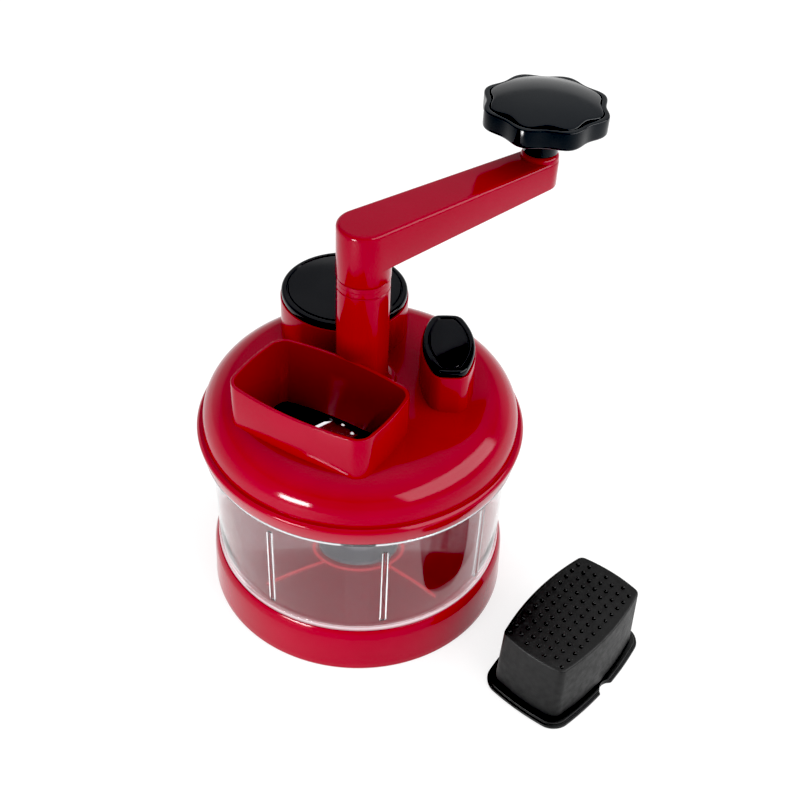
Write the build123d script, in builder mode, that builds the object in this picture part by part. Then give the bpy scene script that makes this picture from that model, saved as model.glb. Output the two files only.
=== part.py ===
from build123d import *

import os
from dataclasses import dataclass
from math import cos, radians, sin, tan

# Hand cranked food chopper, in millimetres. +Z is up, the origin is on the crank
# axis at the level of the worktop, and the long side of the open hopper lies along X.

os.makedirs("parts", exist_ok=True)

# ---- Fits -----------------------------------------------------------------
running_gap = 0.05  # radial, a shaft or pin turning in its bore
press_gap = 0.1  # radial, a piece pushed into another one of the same body
body_gap = 0.3  # between bodies that turn or slide past each other
chute_gap = 0.6  # all round a pusher in its chute
weld = 1.0  # how far one part of a moulding runs into the next

# ---- Stand ----------------------------------------------------------------
stand_flare = 3.7  # of the bottom edge beyond the recess that holds the bowl
stand_bulge = 2.3  # of the shoulder, where the side turns over into the top lip
stand_shoulder_drop = 5.8  # of the shoulder below the lip
stand_recess = 9.0  # from the lip down to the deck
stand_lip_way = (1, -0.6)  # how the side leaves the lip
stand_foot_way = (0.02, -1)  # and how it reaches the bottom edge
stand_lip = 1.2  # width of the top lip beside the bowl
stand_wall = 2.4
stand_lift = 0.8  # the shell stands this far off the worktop, on its rubber ring
deck_height = 21.4
deck_thickness = 2.4
deck_rib_height = 1.6
deck_rib_width = 1.8
deck_ring_radius = 25.0
deck_ray_length = 70.0
deck_ray_count = 4
deck_ray_start = 72.4  # degrees
foot_ring_width = 5.4
foot_ring_height = 6.0
foot_ring_round = 0.6
foot_web_count = 16
foot_web_width = 2.0

# ---- Bowl -----------------------------------------------------------------
bowl_radius = 84.2  # outside of the wall
bowl_wall = 2.2
bowl_floor = 2.4
bowl_corner = 7.0
bowl_heel = 3.0  # rounding of the outside, under the floor
bowl_bead = 0.6  # the bead round the wall just above the stand
bowl_bead_height = 3.2
bowl_flange_height = 104.8
bowl_flange_thickness = 2.4
bowl_flange_width = 2.7  # beyond the lip
bowl_lip_step = 2.7  # of the lip beyond the wall
bowl_lip_height = 5.2  # how far the lip stands above the flange
bowl_rib_count = 8
bowl_rib_start = -3.2  # degrees
bowl_rib_radius = 1.9
bowl_rib_rise = 11.1  # of the ribs' lower ends above the floor
bowl_rib_drop = 11.8  # of their tops below the flange
pivot_boss_radius = 7.0
pivot_boss_height = 6.0
pivot_radius = 3.0
pivot_length = 27.0
pivot_chamfer = 0.8

# ---- Lid ------------------------------------------------------------------
lid_wall = 2.4
skirt_overhang = 0.4  # of the skirt's bottom edge beyond the bowl's flange
rim_flare = 1.8  # of the widest ring beyond the skirt's bottom edge
rim_rise = 9.6  # of the widest ring above the skirt's bottom edge
ledge_rise = 12.2  # of the groove that runs round above the ring
ledge_groove = 0.8
rim_band = 1.2
rim_slope = 1.4
rim_ledge = 1.8  # width of the groove between the ring and the dome
dome_lean = 2.8  # of the dome's side, up to where its line would meet the roof's
dome_corner_rise = 33.8
dome_straight = 0.8  # left of the side below the rounding of that corner
dome_rise = 38.8  # of the middle of the roof above the skirt's bottom edge
tower_radius = 14.1
tower_foot_round = 4.0
tower_draft = 0.2  # the tower is this much thicker at its foot
tower_rise = 99.4  # of the tower's top above the skirt's bottom edge
tower_bore_radius = 9.0
bush_seat_radius = 11.4
chute_rise = 58.4  # of all three chute rims above the skirt's bottom edge
chute_wall = 1.9
throat_rise = 16.0  # of the chutes' lower ends above the skirt's bottom edge
tower_end_rise = 3.0  # of the tower's lower end above the chutes'
chute_draft = 1.0  # degrees, outside
throat_draft = 2.0  # degrees, inside
least_corner = 0.8
hopper_share = 1.5  # of the hopper's bowed side, inside the tower's outline
hopper_half_length = 41.9
hopper_half_width = 23.8
hopper_end_bow = 2.2
hopper_side_bow = 4.4
hopper_corner = 6.5
small_chute_distance = 46.5
small_chute_azimuth = 32.0
small_half_length = 25.2
small_half_width = 8.2
small_end_bow = 0.6
small_side_bow = 6.6
small_corner = 3.5
round_chute_azimuth = 134.0
round_chute_radius = 36.5

# ---- Crank ----------------------------------------------------------------
collar_height = 6.4
collar_groove = 0.5
collar_spigot = 4.0
hub_radius = 14.4
crank_azimuth = 69.0
crank_throw = 118.5
crank_end_radius = 10.8
crank_depth_at_hub = 22.5
crank_depth_at_end = 16.0
crank_rise = 31.2  # of the arm's top above the collar
crank_wall = 2.4
crank_edge_round = 2.4
crank_rib_count = 4
crank_rib_width = 1.8
crank_boss_height = 3.0
crank_boss_round = 2.5
crank_boss_inset = 0.3
crank_post_radius = 6.2
shaft_radius = 6.0
hex_radius = 5.2  # across corners, half
shaft_socket_depth = 24.0
bush_length = 14.0
washer_thickness = 0.8
washer_radius = 10.0
clip_thickness = 1.0
clip_radius = 8.6
clip_groove = 1.2
clip_mouth = 5.2

# ---- Disc -----------------------------------------------------------------
disc_inset = 3.3  # of its edge inside the bowl's lip
disc_rise = 7.3  # of its top above the bowl
disc_thickness = 2.5
disc_rim_depth = 5.0
disc_rim_width = 2.0
disc_hub_radius = 15.0
disc_hub_depth = 4.5
disc_rib_count = 6
disc_rib_width = 2.0
disc_rib_depth = 3.0
disc_edge_round = 0.6
key_side = 13.0
key_stand = 1.5  # of the spindle's square key above the disc
spindle_radius = 7.5
spindle_socket_depth = 17.0
spindle_flange = 3.0
spindle_flange_radius = 13.0
spindle_foot_radius = 22.0
spindle_foot_edge = 3.0
spindle_foot_height = 16.0
blade_azimuth = -111.3
blade_inner = 11.0  # ends of the blade, from the axis
blade_inset = 7.6  # of the blade's outer end inside the disc's edge
blade_width = 18.0
blade_lead = 1.5  # the cutting edge stands this far ahead of the radius
blade_thickness = 0.9
blade_edge = 0.2  # left at the cutting edge
blade_corner = 2.0
blade_overhang = 1.2  # of the cutting edge beyond its seat
blade_bevel = 3.0
blade_slot_width = 6.5
rivet_radius = 1.9  # of the domed head
rivet_height = 0.8
rivet_shank_radius = 1.1
rivet_depth = 1.8  # into the disc
rivet_inset = 3.9  # from the blade's ends and back edge
rivet_spacing = 8.8

# ---- Palm knob ------------------------------------------------------------
knob_radius = 33.3  # mean of lobes and hollows
knob_wave = 1.5
knob_lobes = 8
knob_phase = 5.0
knob_side = 11.0
knob_edge_round = 2.0
knob_rim_round = 0.8
knob_ledge = 1.8  # that carries the cap
knob_neck_radius = 9.5
knob_neck_height = 16.4
knob_inset = 3.2  # of the cap's outline inside the knob's
knob_cap_seat = 2.6
knob_cap_gap = 0.25
knob_crown = 6.2
knob_wall = 2.2
knob_rib_width = 1.6
knob_screw_radius = 4.0
knob_head_radius = 6.6
knob_head_height = 3.0
knob_thread_radius = 2.6
knob_thread_length = 11.0
knob_washer_thickness = 0.6
knob_washer_radius = 8.8

# ---- Pushers --------------------------------------------------------------
pusher_wall = 2.0
pusher_end_rise = 1.7  # of a pusher's closed end above its chute's lower end
pusher_flange = 4.4
pusher_flange_setback = 0.6  # of its edge inside the chute's rim
pusher_flange_round = 1.6
pusher_line_inset = 4.0  # the line that runs round the top of each cap
pusher_line_depth = 0.5
pusher_line_width = 0.8
pusher_plug = 5.0  # the cap's skirt inside the plunger
plug_wall = 1.8
rect_pusher_x = 144.3
rect_pusher_y = -5.0
rect_pusher_turn = 80.3
rect_flange_overhang = 1.6  # of the loose pusher's flange beyond the hopper's rim
rect_flange_height = 3.6
rect_flange_step = 1.4
finger_notch_radius = 7.0
finger_notch_depth = 3.4


@dataclass
class Bowed:
    """A rounded rectangle whose sides bow outwards."""

    half_length: float
    half_width: float
    end_bow: float
    side_bow: float
    corner: float


hopper = Bowed(
    hopper_half_length, hopper_half_width, hopper_end_bow, hopper_side_bow, hopper_corner
)
small_chute = Bowed(
    small_half_length, small_half_width, small_end_bow, small_side_bow, small_corner
)

# ---- Radii that follow ----------------------------------------------------
stand_bore = bowl_radius + body_gap
stand_shoulder_radius = stand_bore + stand_bulge
stand_radius = stand_bore + stand_flare
bowl_lip_radius = bowl_radius + bowl_lip_step
bowl_flange_radius = bowl_lip_radius + bowl_flange_width
lid_inside = bowl_lip_radius + body_gap
skirt_radius = bowl_flange_radius + skirt_overhang
rim_radius = skirt_radius + rim_flare
dome_foot_radius = rim_radius - rim_slope - rim_ledge
dome_corner_radius = dome_foot_radius - dome_lean
disc_radius = bowl_lip_radius - disc_inset
blade_outer = disc_radius - blade_inset
hopper_distance = tower_radius + hopper_half_width + hopper_side_bow - hopper_share
round_chute_distance = tower_radius + round_chute_radius

# ---- Heights that follow --------------------------------------------------
stand_height = deck_height + stand_recess
stand_shoulder_height = stand_height - stand_shoulder_drop
bowl_bottom = deck_height + deck_rib_height
bowl_floor_top = bowl_bottom + bowl_floor
skirt_bottom = bowl_flange_height + bowl_flange_thickness
bowl_top = skirt_bottom + bowl_lip_height
bowl_rib_bottom = bowl_floor_top + bowl_rib_rise
bowl_rib_top = bowl_flange_height - bowl_rib_drop
rim_height = skirt_bottom + rim_rise
ledge_height = skirt_bottom + ledge_rise
dome_shoulder = dome_corner_rise - ledge_rise - dome_straight
dome_top = skirt_bottom + dome_rise
tower_top = skirt_bottom + tower_rise
chute_top = skirt_bottom + chute_rise
throat_bottom = skirt_bottom + throat_rise
tower_bottom = throat_bottom + tower_end_rise
pusher_length = chute_top + body_gap - throat_bottom - pusher_end_rise
collar_top = tower_top + collar_height
hub_bottom = collar_top + body_gap
crank_top = collar_top + crank_rise
boss_top = crank_top + crank_boss_height
neck_bottom = boss_top + knob_washer_thickness + body_gap
knob_bottom = neck_bottom + knob_neck_height
knob_rim = knob_bottom + knob_side
cap_floor = knob_rim - knob_cap_seat
head_seat = cap_floor - knob_head_height - 2 * body_gap
disc_top = bowl_top + disc_rise
disc_bottom = disc_top - disc_thickness
spindle_seat = disc_bottom - disc_hub_depth
spindle_top = disc_top + key_stand
pivot_top = bowl_floor_top + pivot_length
washer_top = tower_bottom - body_gap
clip_top = washer_top - washer_thickness
clip_bottom = clip_top - clip_thickness
shaft_shoulder = clip_bottom - clip_thickness
crank_end = (crank_throw * cos(radians(crank_azimuth)), crank_throw * sin(radians(crank_azimuth)))


# ---- Shared shapes --------------------------------------------------------
def polar(distance, azimuth):
    """X and Y of a point at this distance and azimuth from the crank axis."""
    return distance * cos(radians(azimuth)), distance * sin(radians(azimuth))


def level(height, centre=(0, 0), turn=0):
    """A horizontal plane at a height, with its X turned by so many degrees."""
    x_dir = (cos(radians(turn)), sin(radians(turn)), 0)
    return Plane(origin=(*centre, height), x_dir=x_dir, z_dir=(0, 0, 1))


def bowed_face(plane, shape, grow=0.0):
    """The bowed rectangle on a plane, with every side moved outwards by grow."""
    a, b = shape.half_length + grow, shape.half_width + grow
    with BuildSketch(plane) as face:
        with BuildLine():
            ThreePointArc((-a, -b), (0, -b - shape.side_bow), (a, -b))
            ThreePointArc((a, -b), (a + shape.end_bow, 0), (a, b))
            ThreePointArc((a, b), (0, b + shape.side_bow), (-a, b))
            ThreePointArc((-a, b), (-a - shape.end_bow, 0), (-a, -b))
        make_face()
        fillet(face.vertices(), radius=max(shape.corner + grow, least_corner))
    return face.sketch


def round_face(plane, radius):
    """A round outline on a plane."""
    with BuildSketch(plane) as face:
        Circle(radius)
    return face.sketch


def scalloped_face(height, mean_radius):
    """The knob's outline at a height: one smooth wave round the circle."""
    step = 180 / knob_lobes
    points = []
    for turn in range(2 * knob_lobes):
        radius = mean_radius + (knob_wave if turn % 2 == 0 else -knob_wave)
        points.append(polar(radius, knob_phase + turn * step))
    with BuildSketch(level(height, crank_end)) as face:
        with BuildLine():
            Spline(*points, periodic=True)
        make_face()
    return face.sketch


def arm_outline(shrink=0.0):
    """In a sketch, the crank arm from above: a slot that narrows to the knob."""
    Circle(hub_radius - shrink)
    with Locations((crank_throw, 0)):
        Circle(crank_end_radius - shrink)
    make_hull()


def hopper_outline(height, grow):
    """The hopper's outline at a height, moved outwards by grow."""
    return bowed_face(level(height, (0, -hopper_distance)), hopper, grow)


def small_outline(height, grow):
    """The small chute's outline at a height, moved outwards by grow."""
    centre = polar(small_chute_distance, small_chute_azimuth)
    return bowed_face(level(height, centre, small_chute_azimuth + 90), small_chute, grow)


def round_outline(height, grow):
    """The round chute's outline at a height, moved outwards by grow."""
    centre = polar(round_chute_distance, round_chute_azimuth)
    return round_face(level(height, centre), round_chute_radius + grow)


def loose_outline(height, grow):
    """The hopper's outline where its pusher stands, beside the chopper."""
    return bowed_face(level(height, (rect_pusher_x, rect_pusher_y), rect_pusher_turn), hopper, grow)


def drafted(outline, start, height, grow, draft, mode=Mode.ADD):
    """In a part, an outline carried to another height, closing in by the draft angle."""
    closed = grow - abs(height) * tan(radians(draft))
    loft([outline(start, grow), outline(start + height, closed)], ruled=True, mode=mode)


def plunger(outline, start, direction):
    """In a part, a hollow pusher with its far end closed, open at the height start."""
    outside = -chute_wall - chute_gap
    inside = outside - pusher_wall
    depth = pusher_length - pusher_wall
    drafted(outline, start, direction * pusher_length, outside, throat_draft)
    drafted(outline, start, direction * depth, inside, throat_draft, Mode.SUBTRACT)


def plug_ring(outline, start, direction):
    """In a part, the skirt by which a cap sits inside its plunger."""
    outside = -chute_wall - chute_gap - pusher_wall - press_gap
    depth = direction * pusher_plug
    drafted(outline, start, depth, outside, throat_draft)
    drafted(outline, start, depth, outside - plug_wall, throat_draft, Mode.SUBTRACT)


def finish(part, name):
    """Name a finished piece and write it."""
    part.part.label = name
    export_step(part.part, f"parts/{name}.step")


# ---- Stand ----------------------------------------------------------------
foot_outer = stand_radius - stand_wall - press_gap
foot_inner = foot_outer - foot_ring_width

with BuildPart() as base_stand:
    with BuildSketch(Plane.XZ):
        with BuildLine():
            Polyline(
                (0, deck_height),
                (stand_bore, deck_height),
                (stand_bore, stand_height),
                (stand_bore + stand_lip, stand_height),
            )
            Spline(
                (stand_bore + stand_lip, stand_height),
                (stand_shoulder_radius, stand_shoulder_height),
                (stand_radius, stand_lift),
                tangents=(stand_lip_way, stand_foot_way),
            )
            Polyline(
                (stand_radius, stand_lift),
                (stand_radius - stand_wall, stand_lift),
                (stand_radius - stand_wall, deck_height - deck_thickness),
                (0, deck_height - deck_thickness),
                (0, deck_height),
            )
        make_face()
    revolve(axis=Axis.Z)
    # the inner wall that holds the rubber ring, and the webs it pushes against
    with BuildSketch(level(stand_lift)):
        Circle(foot_inner - press_gap)
        Circle(foot_inner - press_gap - stand_wall, mode=Mode.SUBTRACT)
    extrude(amount=deck_height - deck_thickness - stand_lift)
    with BuildSketch(level(foot_ring_height)):
        with PolarLocations(foot_outer - foot_ring_width / 2, foot_web_count):
            Rectangle(foot_ring_width + 2 * weld, foot_web_width)
    extrude(amount=deck_height - deck_thickness - foot_ring_height)
    # the ribs on the deck that carry the bowl
    with BuildSketch(level(deck_height)):
        Circle(deck_ring_radius + deck_rib_width / 2)
        Circle(deck_ring_radius - deck_rib_width / 2, mode=Mode.SUBTRACT)
        with PolarLocations(
            (deck_ring_radius + deck_ray_length) / 2, deck_ray_count, start_angle=deck_ray_start
        ):
            Rectangle(deck_ray_length - deck_ring_radius, deck_rib_width)
    extrude(amount=deck_rib_height)
finish(base_stand, "base_stand")

with BuildPart() as foot_ring:
    with BuildSketch(Plane.XY):
        Circle(foot_outer)
        Circle(foot_inner, mode=Mode.SUBTRACT)
    extrude(amount=foot_ring_height)
    fillet(foot_ring.faces().sort_by(Axis.Z)[0].edges(), radius=foot_ring_round)
finish(foot_ring, "foot_ring")

# ---- Bowl -----------------------------------------------------------------
bowl_inside = bowl_radius - bowl_wall
bead_top = stand_height + body_gap + bowl_bead_height

with BuildPart() as bowl:
    with BuildSketch(Plane.XZ):
        with BuildLine():
            FilletPolyline(
                (0, bowl_bottom),
                (bowl_radius, bowl_bottom),
                (bowl_radius, stand_height + body_gap),
                radius=bowl_heel,
            )
            Polyline(
                (bowl_radius, stand_height + body_gap),
                (bowl_radius + bowl_bead, stand_height + body_gap + bowl_bead),
                (bowl_radius + bowl_bead, bead_top - bowl_bead),
                (bowl_radius, bead_top),
                (bowl_radius, bowl_flange_height),
                (bowl_flange_radius, bowl_flange_height),
                (bowl_flange_radius, skirt_bottom),
                (bowl_lip_radius, skirt_bottom),
                (bowl_lip_radius, bowl_top),
                (bowl_lip_radius - bowl_wall, bowl_top),
                (bowl_lip_radius - bowl_wall, skirt_bottom),
                (bowl_inside, bowl_flange_height),
            )
            FilletPolyline(
                (bowl_inside, bowl_flange_height),
                (bowl_inside, bowl_floor_top),
                (0, bowl_floor_top),
                radius=bowl_corner,
            )
            Line((0, bowl_floor_top), (0, bowl_bottom))
        make_face()
    revolve(axis=Axis.Z)
    # the boss that holds the pivot pin
    with BuildSketch(level(bowl_floor_top)):
        Circle(pivot_boss_radius)
    extrude(amount=pivot_boss_height)
    with BuildSketch(level(bowl_floor_top)):
        Circle(pivot_radius + press_gap)
    extrude(amount=pivot_boss_height, mode=Mode.SUBTRACT)
    # round-topped ribs down the inside of the wall
    with BuildSketch(level(bowl_rib_bottom)):
        with PolarLocations(bowl_inside, bowl_rib_count, start_angle=bowl_rib_start):
            Circle(bowl_rib_radius)
    extrude(amount=bowl_rib_top - bowl_rib_radius - bowl_rib_bottom)
    with Locations(level(bowl_rib_top - bowl_rib_radius)):
        with PolarLocations(bowl_inside, bowl_rib_count, start_angle=bowl_rib_start):
            Sphere(bowl_rib_radius)
finish(bowl, "bowl")

with BuildPart() as pivot_pin:
    with BuildSketch(level(bowl_floor_top)):
        Circle(pivot_radius)
    extrude(amount=pivot_length)
    chamfer(pivot_pin.faces().sort_by(Axis.Z)[-1].edges(), length=pivot_chamfer)
finish(pivot_pin, "pivot_pin")

# ---- Lid ------------------------------------------------------------------
chute_height = chute_top - throat_bottom
tower_foot = tower_radius + tower_draft
inner_foot = dome_foot_radius - lid_wall
corner_height = skirt_bottom + dome_corner_rise
groove_bottom = ledge_height - ledge_groove
spigot_bottom = tower_top - collar_spigot

with BuildPart() as lid:
    with BuildSketch(Plane.XZ):
        with BuildLine():
            Polyline(
                (lid_inside, skirt_bottom),
                (skirt_radius, skirt_bottom),
                (rim_radius, rim_height - rim_band),
                (rim_radius, rim_height),
                (rim_radius - rim_slope, groove_bottom),
                (dome_foot_radius, groove_bottom),
                (dome_foot_radius, ledge_height),
            )
            FilletPolyline(
                (dome_foot_radius, ledge_height),
                (dome_corner_radius, corner_height),
                (0, dome_top),
                radius=dome_shoulder,
            )
            Line((0, dome_top), (0, dome_top - lid_wall))
            FilletPolyline(
                (0, dome_top - lid_wall),
                (dome_corner_radius - lid_wall, corner_height - lid_wall),
                (inner_foot, groove_bottom),
                radius=dome_shoulder - lid_wall,
            )
            Polyline(
                (inner_foot, groove_bottom),
                (lid_inside, bowl_top + 2 * body_gap),
                (lid_inside, skirt_bottom),
            )
        make_face()
    revolve(axis=Axis.Z)
    # the outsides of the three chutes, wider towards the disc
    drafted(hopper_outline, chute_top, -chute_height, 0, -chute_draft)
    drafted(small_outline, chute_top, -chute_height, 0, -chute_draft)
    drafted(round_outline, chute_top, -chute_height, 0, 0)
    # the tower that carries the crank, with a rounded foot on the roof
    with BuildSketch(Plane.XZ):
        with BuildLine():
            Polyline(
                (tower_foot, dome_top + tower_foot_round),
                (tower_radius, tower_top),
                (0, tower_top),
                (0, tower_bottom),
                (tower_foot, tower_bottom),
                (tower_foot, dome_top - lid_wall),
                (tower_foot + tower_foot_round, dome_top - lid_wall),
                (tower_foot + tower_foot_round, dome_top),
            )
            RadiusArc(
                (tower_foot + tower_foot_round, dome_top),
                (tower_foot, dome_top + tower_foot_round),
                tower_foot_round,
            )
        make_face()
    revolve(axis=Axis.Z)
    # the throats, narrower towards the disc
    for outline in (hopper_outline, small_outline, round_outline):
        drafted(outline, chute_top, -chute_height, -chute_wall, throat_draft, Mode.SUBTRACT)
    # the tower's bore and the seats of its two bushes
    bore = round_face(level(tower_bottom), tower_bore_radius)
    extrude(bore, amount=tower_top - tower_bottom, mode=Mode.SUBTRACT)
    lower_seat = round_face(level(tower_bottom), bush_seat_radius)
    extrude(lower_seat, amount=bush_length, mode=Mode.SUBTRACT)
    upper_seat = round_face(level(tower_top), bush_seat_radius)
    extrude(upper_seat, amount=-collar_spigot - bush_length, mode=Mode.SUBTRACT)
finish(lid, "lid")

with BuildPart() as lower_bush:
    with BuildSketch(level(tower_bottom)):
        Circle(bush_seat_radius - press_gap)
        Circle(shaft_radius + running_gap, mode=Mode.SUBTRACT)
    extrude(amount=bush_length)
finish(lower_bush, "lower_bush")

with BuildPart() as upper_bush:
    with BuildSketch(level(spigot_bottom)):
        Circle(bush_seat_radius - press_gap)
        Circle(shaft_radius + running_gap, mode=Mode.SUBTRACT)
    extrude(amount=-bush_length)
finish(upper_bush, "upper_bush")

with BuildPart() as tower_collar:
    with BuildSketch(level(tower_top)):
        Circle(tower_radius)
    extrude(amount=collar_height)
    chamfer(tower_collar.edges(), length=collar_groove)
    spigot = round_face(level(spigot_bottom), bush_seat_radius - press_gap)
    extrude(spigot, amount=collar_spigot + collar_groove)
    shaft_hole = round_face(level(spigot_bottom), shaft_radius + body_gap)
    extrude(shaft_hole, amount=collar_spigot + collar_height, mode=Mode.SUBTRACT)
finish(tower_collar, "tower_collar")

# ---- Crank ----------------------------------------------------------------
arm_side = Plane(
    origin=(0, 0, 0),
    x_dir=(*polar(1, crank_azimuth), 0),
    z_dir=(*polar(1, crank_azimuth - 90), 0),
)
arm_reach = crank_throw + crank_end_radius
arm_bottom_at_hub = crank_top - crank_depth_at_hub
arm_bottom_at_end = crank_top - crank_depth_at_end
rib_span = crank_throw - crank_post_radius - hub_radius
rib_pitch = rib_span / (crank_rib_count + 1)
thread_bottom = boss_top - knob_thread_length

with BuildPart() as crank_arm:
    with BuildSketch(level(crank_top, turn=crank_azimuth)):
        arm_outline()
    extrude(amount=-crank_depth_at_hub)
    # the underside rises towards the knob
    with BuildSketch(arm_side):
        with BuildLine():
            Polyline(
                (-arm_reach, crank_top),
                (arm_reach, crank_top),
                (arm_reach, arm_bottom_at_end),
                (0, arm_bottom_at_hub),
                (-arm_reach, arm_bottom_at_hub),
                close=True,
            )
        make_face()
    extrude(amount=2 * hub_radius, both=True, mode=Mode.INTERSECT)
    fillet(crank_arm.faces().sort_by(Axis.Z)[-1].edges(), radius=crank_edge_round)
    # the pocket underneath, with its cross ribs and the post below the knob
    with BuildSketch(level(crank_top - crank_wall, turn=crank_azimuth)):
        arm_outline(crank_wall)
        Circle(hub_radius, mode=Mode.SUBTRACT)
        with Locations((crank_throw, 0)):
            Circle(crank_post_radius, mode=Mode.SUBTRACT)
        with Locations([(hub_radius + rib_pitch * (n + 1), 0) for n in range(crank_rib_count)]):
            Rectangle(crank_rib_width, 2 * hub_radius, mode=Mode.SUBTRACT)
    extrude(amount=-crank_depth_at_hub, mode=Mode.SUBTRACT)
    # the hub that stands on the tower, and the boss that carries the knob
    extrude(round_face(level(hub_bottom), hub_radius), amount=arm_bottom_at_hub - hub_bottom + weld)
    boss = round_face(level(boss_top, crank_end), crank_end_radius - crank_boss_inset)
    extrude(boss, amount=-crank_boss_height - crank_edge_round)
    fillet(crank_arm.faces().sort_by(Axis.Z)[-1].edges(), radius=crank_boss_round)
    with BuildSketch(level(hub_bottom)):
        RegularPolygon(hex_radius + press_gap, 6)
    extrude(amount=shaft_socket_depth, mode=Mode.SUBTRACT)
    screw_hole = round_face(level(boss_top, crank_end), knob_thread_radius + press_gap)
    extrude(screw_hole, amount=-knob_thread_length - body_gap, mode=Mode.SUBTRACT)
finish(crank_arm, "crank_arm")

hex_bottom = spindle_top - spindle_socket_depth + body_gap
hex_top = hub_bottom + shaft_socket_depth - body_gap

with BuildPart() as drive_shaft:
    with BuildSketch(level(hex_bottom)):
        RegularPolygon(hex_radius, 6)
    extrude(amount=hex_top - hex_bottom)
    extrude(round_face(level(shaft_shoulder), shaft_radius), amount=hub_bottom - shaft_shoulder)
    # the groove of the clip
    with BuildSketch(level(clip_bottom)):
        Circle(shaft_radius)
        Circle(shaft_radius - clip_groove, mode=Mode.SUBTRACT)
    extrude(amount=clip_thickness, mode=Mode.SUBTRACT)
finish(drive_shaft, "drive_shaft")

with BuildPart() as shaft_clip:
    with BuildSketch(level(clip_bottom)):
        Circle(clip_radius)
        Circle(shaft_radius - clip_groove + press_gap, mode=Mode.SUBTRACT)
        with Locations((clip_radius / 2, 0)):
            Rectangle(clip_radius, clip_mouth, mode=Mode.SUBTRACT)
    extrude(amount=clip_thickness)
finish(shaft_clip, "shaft_clip")

with BuildPart() as thrust_washer:
    with BuildSketch(level(clip_top)):
        Circle(washer_radius)
        Circle(shaft_radius + press_gap, mode=Mode.SUBTRACT)
    extrude(amount=washer_thickness)
finish(thrust_washer, "thrust_washer")

# ---- Disc -----------------------------------------------------------------
foot_bottom = bowl_floor_top + body_gap
foot_top = foot_bottom + spindle_foot_height
boss_room = pivot_boss_radius + body_gap
boss_room_top = bowl_floor_top + pivot_boss_height + body_gap
flange_bottom = spindle_seat - spindle_flange

with BuildPart() as disc_spindle:
    with BuildSketch(Plane.XZ):
        with BuildLine():
            Polyline(
                (boss_room, foot_bottom),
                (spindle_foot_radius, foot_bottom),
                (spindle_foot_radius, foot_bottom + spindle_foot_edge),
            )
            FilletPolyline(
                (spindle_foot_radius, foot_bottom + spindle_foot_edge),
                (spindle_radius + spindle_foot_edge, foot_bottom + 2 * spindle_foot_edge),
                (spindle_radius, foot_top),
                radius=spindle_foot_edge,
            )
            Polyline(
                (spindle_radius, foot_top),
                (spindle_radius, flange_bottom),
                (spindle_flange_radius, flange_bottom),
                (spindle_flange_radius, spindle_seat),
                (0, spindle_seat),
                (0, pivot_top + body_gap),
                (pivot_radius + running_gap, pivot_top + body_gap),
                (pivot_radius + running_gap, boss_room_top),
                (boss_room, boss_room_top),
                (boss_room, foot_bottom),
            )
        make_face()
    revolve(axis=Axis.Z)
    with BuildSketch(level(spindle_seat, turn=blade_azimuth)):
        Rectangle(key_side, key_side)
    extrude(amount=spindle_top - spindle_seat)
    with BuildSketch(level(spindle_top)):
        RegularPolygon(hex_radius + press_gap, 6)
    extrude(amount=-spindle_socket_depth, mode=Mode.SUBTRACT)
finish(disc_spindle, "disc_spindle")

blade_plane = level(disc_top, turn=blade_azimuth)
blade_middle = (blade_inner + blade_outer) / 2
blade_length = blade_outer - blade_inner
slot_inner = disc_hub_radius + disc_rib_width
slot_outer = blade_outer - disc_rib_width
slot_middle = blade_overhang - blade_lead - blade_slot_width / 2
rivet_back = blade_width - blade_lead - rivet_inset
rivet_spots = [
    (along, across)
    for along in (blade_inner + rivet_inset, blade_outer - rivet_inset)
    for across in (rivet_back, rivet_back - rivet_spacing)
]

with BuildPart() as slicing_disc:
    extrude(round_face(level(disc_bottom), disc_radius), amount=disc_thickness)
    with BuildSketch(level(disc_top - disc_rim_depth)):
        Circle(disc_radius)
        Circle(disc_radius - disc_rim_width, mode=Mode.SUBTRACT)
    extrude(amount=disc_rim_depth - disc_thickness)
    fillet(slicing_disc.faces().sort_by(Axis.Z)[-1].edges(), radius=disc_edge_round)
    # hub and ribs underneath
    extrude(round_face(level(spindle_seat), disc_hub_radius), amount=disc_hub_depth)
    with BuildSketch(level(disc_bottom)):
        with PolarLocations(
            disc_radius / 2, disc_rib_count, start_angle=blade_azimuth + 180 / disc_rib_count
        ):
            Rectangle(disc_radius - disc_rim_width, disc_rib_width)
    extrude(amount=-disc_rib_depth)
    with BuildSketch(level(spindle_seat, turn=blade_azimuth)):
        Rectangle(key_side + 2 * press_gap, key_side + 2 * press_gap)
    extrude(amount=disc_hub_depth + disc_thickness, mode=Mode.SUBTRACT)
    # the slot under the cutting edge, and the holes of the rivets
    with BuildSketch(blade_plane):
        with Locations(((slot_inner + slot_outer) / 2, slot_middle)):
            RectangleRounded(slot_outer - slot_inner, blade_slot_width, disc_rib_width)
    extrude(amount=-disc_thickness, mode=Mode.SUBTRACT)
    with BuildSketch(blade_plane):
        with Locations(rivet_spots):
            Circle(rivet_shank_radius + press_gap)
    extrude(amount=-rivet_depth - press_gap, mode=Mode.SUBTRACT)
finish(slicing_disc, "slicing_disc")

blade_end = Plane(
    origin=(*polar(blade_inner, blade_azimuth), disc_top),
    x_dir=(*polar(1, blade_azimuth - 90), 0),
    z_dir=(*polar(-1, blade_azimuth), 0),
)

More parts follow.
